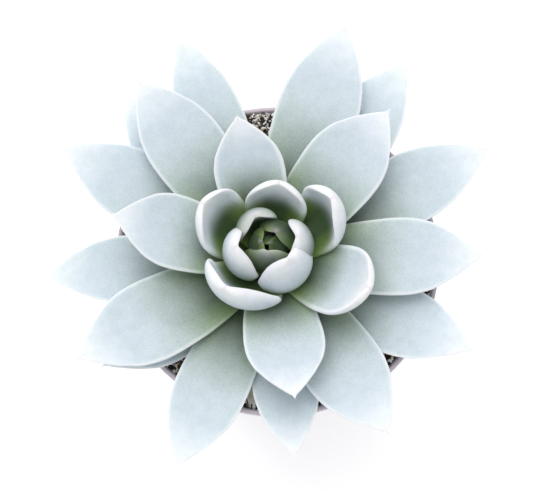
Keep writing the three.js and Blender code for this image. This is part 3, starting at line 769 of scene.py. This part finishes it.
# Withered leaf: thin, papery and crumpled, lying on the soil in front
dry = {"azimuth": -99, "baseOut": 16, "baseUp": -2.1, "tipOut": 48, "tipUp": -0.6, "width": 7,
       "thickness": 0.9, "lift": 2, "belly": 0.5, "cup": 35, "sweep": 1.5, "blunt": 0.1, "wave": 3.5,
       "seed": 91.0, "veins": 34.0, "pale": "#f0ede6", "brown": "#cbbfa9"}


def dryLeafSkin():
    material, tree = newMaterial("paperyDryLeaf")
    place = addNode(tree, "ShaderNodeTexCoord").outputs["Object"]
    along = addNode(tree, "ShaderNodeAttribute", attribute_name="along").outputs["Fac"]
    across = addNode(tree, "ShaderNodeAttribute", attribute_name="across").outputs["Fac"]
    stain = addNode(tree, "ShaderNodeTexNoise",
                    {"Vector": place, "Scale": 1 / (3 * mm), "Detail": 5.0, "Roughness": 0.7})
    veins = addNode(tree, "ShaderNodeMath", [across, dry["veins"]], operation="MULTIPLY")
    veins = addNode(tree, "ShaderNodeMath", [veins], operation="SINE")
    browned = addNode(tree, "ShaderNodeMath", [along, 0.35, stain], operation="MULTIPLY_ADD")
    color = setRamp(addNode(tree, "ShaderNodeValToRGB", [browned]), [
        (0.5, dry["pale"]), (0.95, dry["brown"])])
    relief = addNode(tree, "ShaderNodeMath", [veins, 0.2, stain], operation="MULTIPLY_ADD")
    bump = addNode(tree, "ShaderNodeBump", {"Height": relief, "Strength": 0.6, "Distance": 0.25 * mm})
    dull = addNode(tree, "ShaderNodeMapRange", {"Value": stain, "To Min": 0.6, "To Max": 0.9})
    shader = addNode(tree, "ShaderNodeBsdfPrincipled", {
        "Base Color": color, "Roughness": dull, "Normal": bump, "Subsurface Weight": 0.15,
        "Subsurface Radius": (1.0, 0.8, 0.5), "Subsurface Scale": 0.8 * mm})
    addNode(tree, "ShaderNodeOutputMaterial", [shader])
    return material


dryPiece = linkObject("dryLeaf", bpy.data.meshes.new("dryLeaf"))
bakeNodes(dryPiece, rosetteTree, {
    "Stem": (stemX, stemY, rimHeight), "Skin": dryLeafSkin(), "Azimuth": math.radians(dry["azimuth"] % 360),
    "Base Out": dry["baseOut"] * mm, "Base Up": dry["baseUp"] * mm, "Tip Out": dry["tipOut"] * mm,
    "Tip Up": dry["tipUp"] * mm, "Width": dry["width"] * mm, "Thickness": dry["thickness"] * mm,
    "Lift": math.radians(dry["lift"]), "Belly": dry["belly"], "Cup": math.radians(dry["cup"]),
    "Sweep": dry["sweep"] * mm, "Blunt": dry["blunt"], "Youth": 0.0, "Wave": dry["wave"] * mm,
    "Seed": dry["seed"]})
facesOut(dryPiece)
handOver(dryPiece, "dry_leaf_skin", "dry_leaf")
print("dry leaf laid")


# Stem: a short pale stalk, ringed by the scars of shed leaves
stemShape = {"ringStep": 1.1, "ringDepth": 0.22, "topRadius": 0.7, "topHeight": 0.6, "sides": 72}


def stemBark():
    material, tree = newMaterial("corkyStem")
    place = addNode(tree, "ShaderNodeTexCoord").outputs["Object"]
    cork = addNode(tree, "ShaderNodeTexNoise",
                   {"Vector": place, "Scale": 1 / (1.5 * mm), "Detail": 6.0, "Roughness": 0.7})
    color = setRamp(addNode(tree, "ShaderNodeValToRGB", [cork]), [
        (0.35, "#7d7a58"), (0.55, "#a9ad84"), (0.75, "#c6c4a0")])
    bump = addNode(tree, "ShaderNodeBump", {"Height": cork, "Strength": 0.7, "Distance": 0.3 * mm})
    dull = addNode(tree, "ShaderNodeMapRange", {"Value": cork, "To Min": 0.7, "To Max": 0.9})
    shader = addNode(tree, "ShaderNodeBsdfPrincipled", {
        "Base Color": color, "Roughness": dull, "Normal": bump, "Subsurface Weight": 0.1,
        "Subsurface Scale": 1.0 * mm})
    addNode(tree, "ShaderNodeOutputMaterial", [shader])
    return material


def makeStem():
    low, high = stemLow.z / mm, stemHigh.z / mm
    wide = (stemHigh.x - stemLow.x) / 2 / mm
    tipWide, tipTall = stemShape["topRadius"], stemShape["topHeight"]
    rows = [(0, low, 0), (wide - 0.4, low, 0.3)]
    steps = int((high - low - 1) / stemShape["ringStep"])
    for i in range(1, steps):
        share = i / steps
        radius = wide + (tipWide - wide) * share
        rows.append((radius + stemShape["ringDepth"] * (i % 2), low + (high - low - tipTall) * share, 0.3))
    rows += [(tipWide, high - tipTall, 0.3), (0, high, 0)]
    stalk = lathe("stalk", rows, stemShape["sides"])
    for vert in stalk.data.vertices:
        vert.co += Vector((stemX, stemY, 0))
    stalk.data.materials.append(stemBark())
    handOver(stalk, "stem_bark", "stem")
    print("stem made")


makeStem()

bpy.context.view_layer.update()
